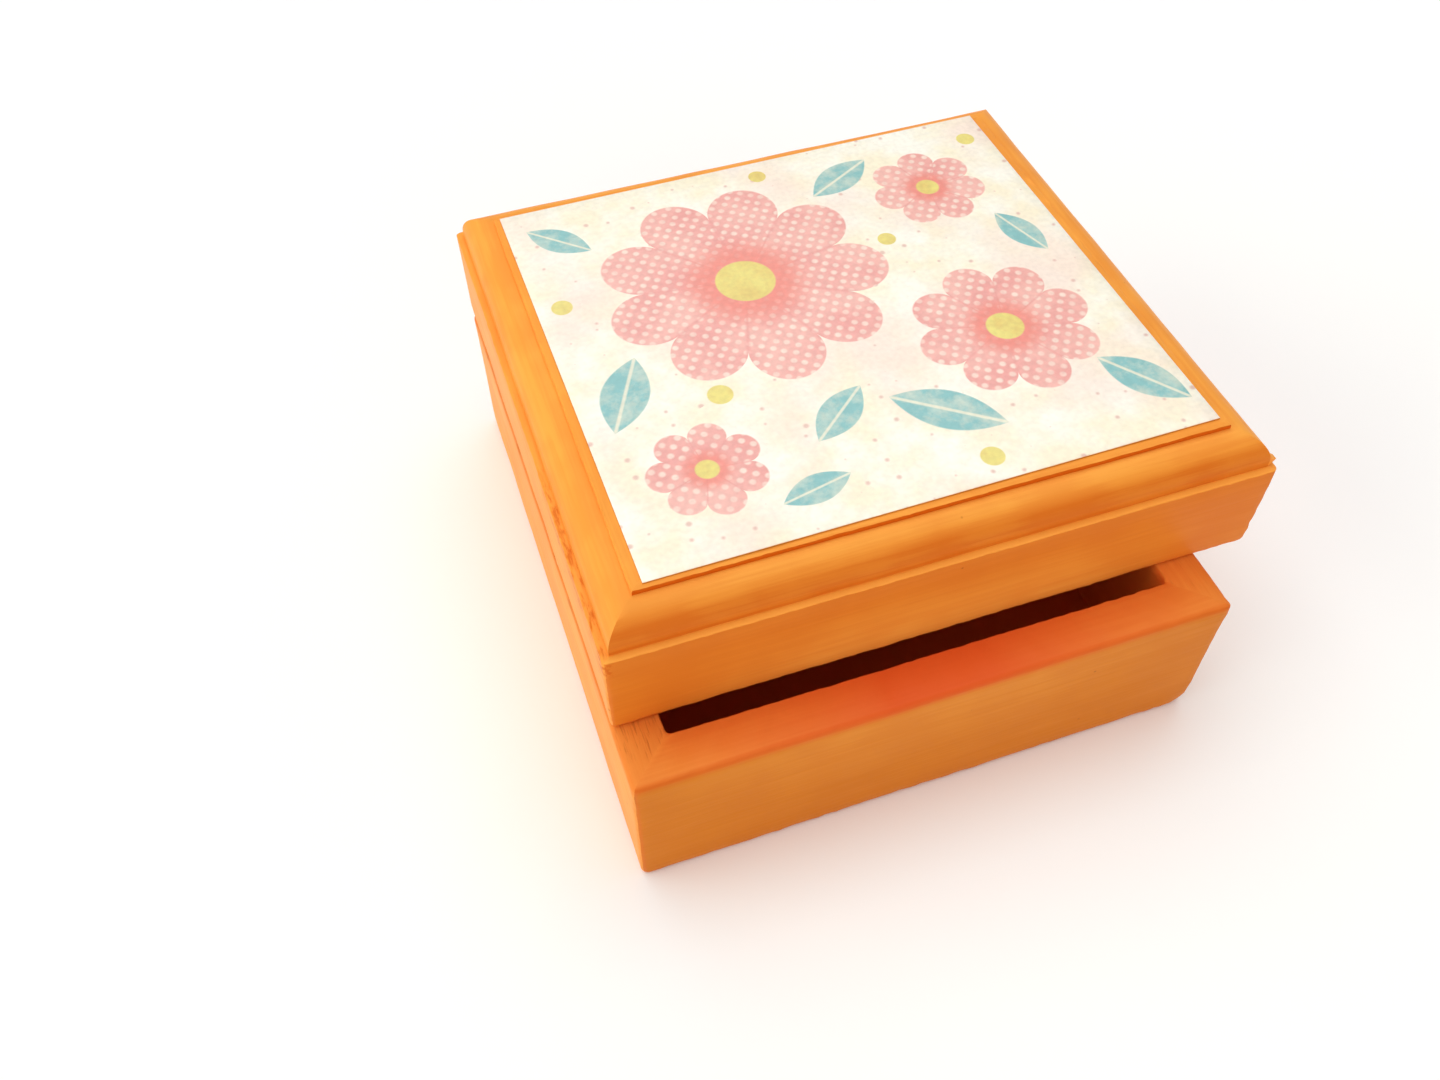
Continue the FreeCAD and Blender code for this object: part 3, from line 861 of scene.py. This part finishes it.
# Matt white paper: even, with no sheen, so that only the soft shadow shows on it. Its tooth is coarser
# than a real one, so that it shows.
def white_paper(stage):
    """The floor, which looks a little whiter to the camera than the light makes it."""
    material, tree = new_material("white paper, matt")
    place = add_node(tree, "TexCoord").outputs["Object"]
    tooth = add_node(tree, "TexNoise", {"Vector": place, "Scale": 1 / (0.6 * MM), "Detail": 2.0})
    bump = add_node(tree, "Bump", {"Height": tooth, "Strength": 0.05, "Distance": 0.05 * MM})
    glow = add_node(tree, "Math", {0: in_sight(tree), 1: stage.floor_lift}, operation="MULTIPLY")
    shader = add_node(tree, "BsdfPrincipled", {
        "Base Color": rgba(stage.floor), "Roughness": 0.9, "Specular IOR Level": 0.0, "Normal": bump,
        "Emission Color": rgba(stage.floor), "Emission Strength": glow})
    add_node(tree, "OutputMaterial", {"Surface": shader})
    return material


# Operators, one for each piece or group of like pieces

class MONEYBOX_OT_tray_walls(bpy.types.Operator):
    """Model the four mitred walls of the tray"""
    bl_idname = "money_box.tray_walls"
    bl_label = "Tray Walls"

    def execute(self, context):
        shape = context.scene.money_box_shape
        hand = context.scene.money_box_handwork
        paint = context.scene.money_box_paint
        low, high = cut_back([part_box("base_%s_wall" % side) for side in SIDES], hand.slack)
        # The foot is cut back too, because the waves would carry it below the floor
        low.z += hand.slack
        block = ring("tray_ring", low, high, shape, hand.cuts, shape.edge_radius, rounded_heights=(low.z, high.z),
                     mouth=high.z, rebate=shape.rebate, seat=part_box("base_bottom_panel")[1].z)
        front_right_foot = Vector((high.x, low.y, low.z))
        pull(front_right_foot, Vector((-1, 1, 1)) * hand.knock, hand.knock_reach, "SMOOTH")
        coats = {run: painted_walls("orange satin paint brushed on pine, tray %s" % run, paint, run, low, high,
                                    shape.wall, is_tray=True)
                 for run in "XY"}
        part_ring(block, low, high, hand, coats, body="tray", piece_name="tray_wall_%s",
                  node_name="base_%s_wall")
        return {"FINISHED"}


class MONEYBOX_OT_bottom_panel(bpy.types.Operator):
    """Model the plywood panel in the foot of the tray"""
    bl_idname = "money_box.bottom_panel"
    bl_label = "Bottom Panel"

    def execute(self, context):
        low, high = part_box("base_bottom_panel")
        panel = start_block("tray_bottom", low, high)
        pick("EDGE", lambda e: True)
        ease(context.scene.money_box_shape.bottom_radius, segments=2)
        slice_edges(context.scene.money_box_handwork.bottom_cuts)
        bpy.ops.object.mode_set(mode="OBJECT")
        bpy.ops.object.shade_smooth_by_angle(angle=SMOOTH_ANGLE)
        ply = birch_ply(context.scene.money_box_paint, high.z)
        hand_over(panel, ply, "tray", "base_bottom_panel")
        return {"FINISHED"}


class MONEYBOX_OT_lid_rails(bpy.types.Operator):
    """Model the four mitred rails under the lid's board"""
    bl_idname = "money_box.lid_rails"
    bl_label = "Lid Rails"

    def execute(self, context):
        shape = context.scene.money_box_shape
        hand = context.scene.money_box_handwork
        paint = context.scene.money_box_paint
        low, high = cut_back([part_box("lid_%s_rail" % side) for side in SIDES], hand.slack)
        block = ring("lid_ring", low, high, shape, hand.cuts, shape.lid_edge_radius, rounded_heights=(low.z,),
                     mouth=low.z)
        coats = {run: painted_walls("orange satin paint brushed on pine, lid %s" % run, paint, run, low, high,
                                    shape.wall, is_tray=False)
                 for run in "XY"}
        part_ring(block, low, high, hand, coats, body="lid", piece_name="lid_rail_%s",
                  node_name="lid_%s_rail")
        return {"FINISHED"}


class MONEYBOX_OT_lid_board(bpy.types.Operator):
    """Model the lid's board with its moulded edge"""
    bl_idname = "money_box.lid_board"
    bl_label = "Lid Board"

    def execute(self, context):
        shape = context.scene.money_box_shape
        hand = context.scene.money_box_handwork
        low, high = cut_back([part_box("lid_top_board")], hand.slack)
        ledge = low.z + shape.board_edge
        spring = ledge + shape.upright
        crown = spring + shape.round
        board = start_block("lid_board", low, Vector((high.x, high.y, ledge)))
        pick("FACE", lambda f: facing(f, 1))
        bpy.ops.mesh.inset(thickness=shape.ledge)
        push(crown - ledge)
        pick("EDGE", lambda e: level_at(e, crown))
        ease(shape.round, segments=14)
        pick("FACE", lambda f: facing(f, 1) and on_axis(f, (low + high) / 2))
        bpy.ops.mesh.inset(thickness=shape.flat)
        push(shape.quirk)
        pick("EDGE", lambda e: level_at(e, crown + shape.quirk))
        ease(shape.quirk_radius, segments=2)
        pick("EDGE", lambda e: upright(e) and outermost(e, low, high))
        ease(shape.lid_edge_radius, segments=4)
        pick("EDGE", lambda e: level_at(e, ledge) and outermost(e, low, high, shape.ledge / 2))
        ease(shape.ledge_radius, segments=3)
        slice_edges(hand.cuts)

        def worn(vertex):
            x, y = margins(vertex, low, high)[:2]
            rounded = NEARLY * shape.ledge_radius
            corner = max(x, y) < NEARLY * shape.lid_edge_radius
            arris = min(x, y) < rounded and abs(vertex.co.z - ledge) < rounded
            quirk = TOUCH < vertex.co.z - crown < shape.quirk - TOUCH
            return corner or arris or quirk

        mark_arrises(worn)
        foot_of_round = Vector((high.x - shape.ledge, low.y + shape.ledge + hand.nib / 2, spring))
        outward = Vector((0.95, 0.1, 0.35))
        pull(foot_of_round, outward * hand.nib, hand.nib, "SHARP")
        bpy.ops.object.mode_set(mode="OBJECT")
        finish_wood(board, hand)
        coat = painted_moulding("orange satin paint brushed round the moulding", context.scene.money_box_paint,
                                low, high, ledge, crown)
        hand_over(board, coat, "lid", "lid_top_board")
        return {"FINISHED"}


class MONEYBOX_OT_picture_panel(bpy.types.Operator):
    """Model the printed panel pasted on the lid"""
    bl_idname = "money_box.picture_panel"
    bl_label = "Picture Panel"

    def execute(self, context):
        shape = context.scene.money_box_shape
        low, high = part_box("lid_picture_panel")
        middle = (low + high) / 2
        half = Vector((shape.picture_width, shape.picture_depth, high.z - low.z)) / 2
        panel = start_block("lid_picture", middle - half, middle + half)
        pick("EDGE", lambda e: level_at(e, high.z))
        ease(shape.picture_radius, segments=2)
        slice_edges(context.scene.money_box_handwork.picture_cuts)
        bpy.ops.mesh.select_all(action="SELECT")
        bpy.ops.transform.rotate(value=-shape.picture_turn, orient_axis="Z", center_override=middle)
        bpy.ops.object.mode_set(mode="OBJECT")
        bpy.ops.object.shade_smooth_by_angle(angle=SMOOTH_ANGLE)
        printed = varnished_print(context.scene.money_box_print, middle, shape.picture_turn, high.z)
        hand_over(panel, printed, "lid", "lid_picture_panel")
        return {"FINISHED"}


class MONEYBOX_OT_stage(bpy.types.Operator):
    """Lay the floor and set light and camera"""
    bl_idname = "money_box.stage"
    bl_label = "Stage"

    def execute(self, context):
        scene = context.scene
        stage = scene.money_box_stage
        bpy.ops.object.select_all(action="DESELECT")
        foot = CAD_BOX[0][2]
        bpy.ops.mesh.primitive_plane_add(size=stage.floor_size, location=(0, 0, foot - stage.floor_gap))
        floor = context.object
        floor.name = "floor"
        floor.data.materials.append(white_paper(stage))

        for name in ("key", "fill", "window"):
            direction = Vector(getattr(stage, name + "_direction"))
            bpy.ops.object.light_add(type="SUN", location=-direction)
            lamp = context.object
            lamp.name = name
            lamp.rotation_euler = direction.to_track_quat("-Z", "Y").to_euler()
            lamp.data.energy = getattr(stage, name)
            lamp.data.color = getattr(stage, name + "_colour")
            lamp.data.angle = stage.softness

        world = bpy.data.worlds.new("room")
        scene.world = world
        world.use_nodes = True
        tree = world.node_tree
        tree.nodes.clear()
        room = add_node(tree, "Background", {"Color": rgba(stage.room_colour), "Strength": stage.room})
        white = add_node(tree, "Background", {"Color": (1, 1, 1, 1), "Strength": 1.0})
        both = add_node(tree, "MixShader", {0: in_sight(tree), 1: room, 2: white})
        add_node(tree, "OutputWorld", {"Surface": both})

        bpy.ops.object.camera_add()
        camera = context.object
        camera.name = "camera"
        camera.matrix_world = (Matrix.Translation(stage.camera_place)
                               @ Matrix.Rotation(-stage.azimuth, 4, "Z")
                               @ Matrix.Rotation(math.pi / 2 - stage.elevation, 4, "X")
                               @ Matrix.Rotation(stage.roll, 4, "Z"))
        camera.data.lens = stage.lens
        camera.data.sensor_width = stage.sensor
        camera.data.clip_start = 10 * MM
        scene.camera = camera
        scene.view_settings.view_transform = "Standard"
        return {"FINISHED"}


class VIEW3D_PT_money_box(bpy.types.Panel):
    """Lists the steps that make the money box"""
    bl_label = "Money Box"
    bl_space_type = "VIEW_3D"
    bl_region_type = "UI"
    bl_category = "Money Box"

    def draw(self, context):
        for operator in OPERATORS:
            self.layout.operator(operator.bl_idname)


OPERATORS = (MONEYBOX_OT_tray_walls, MONEYBOX_OT_bottom_panel, MONEYBOX_OT_lid_rails, MONEYBOX_OT_lid_board,
             MONEYBOX_OT_picture_panel, MONEYBOX_OT_stage)
GROUPS = {"money_box_shape": MoneyBoxShape, "money_box_handwork": MoneyBoxHandwork,
          "money_box_paint": MoneyBoxPaint, "money_box_print": MoneyBoxPrint, "money_box_stage": MoneyBoxStage}
CLASSES = (*GROUPS.values(), *OPERATORS, VIEW3D_PT_money_box)


def register():
    for item in CLASSES:
        bpy.utils.register_class(item)
    for name, group in GROUPS.items():
        setattr(bpy.types.Scene, name, PointerProperty(type=group))


def unregister():
    for name in GROUPS:
        delattr(bpy.types.Scene, name)
    for item in reversed(CLASSES):
        bpy.utils.unregister_class(item)


def main():
    register()
    bpy.ops.money_box.tray_walls()
    bpy.ops.money_box.bottom_panel()
    bpy.ops.money_box.lid_rails()
    bpy.ops.money_box.lid_board()
    bpy.ops.money_box.picture_panel()
    bpy.ops.money_box.stage()


if __name__ == "__main__":
    main()
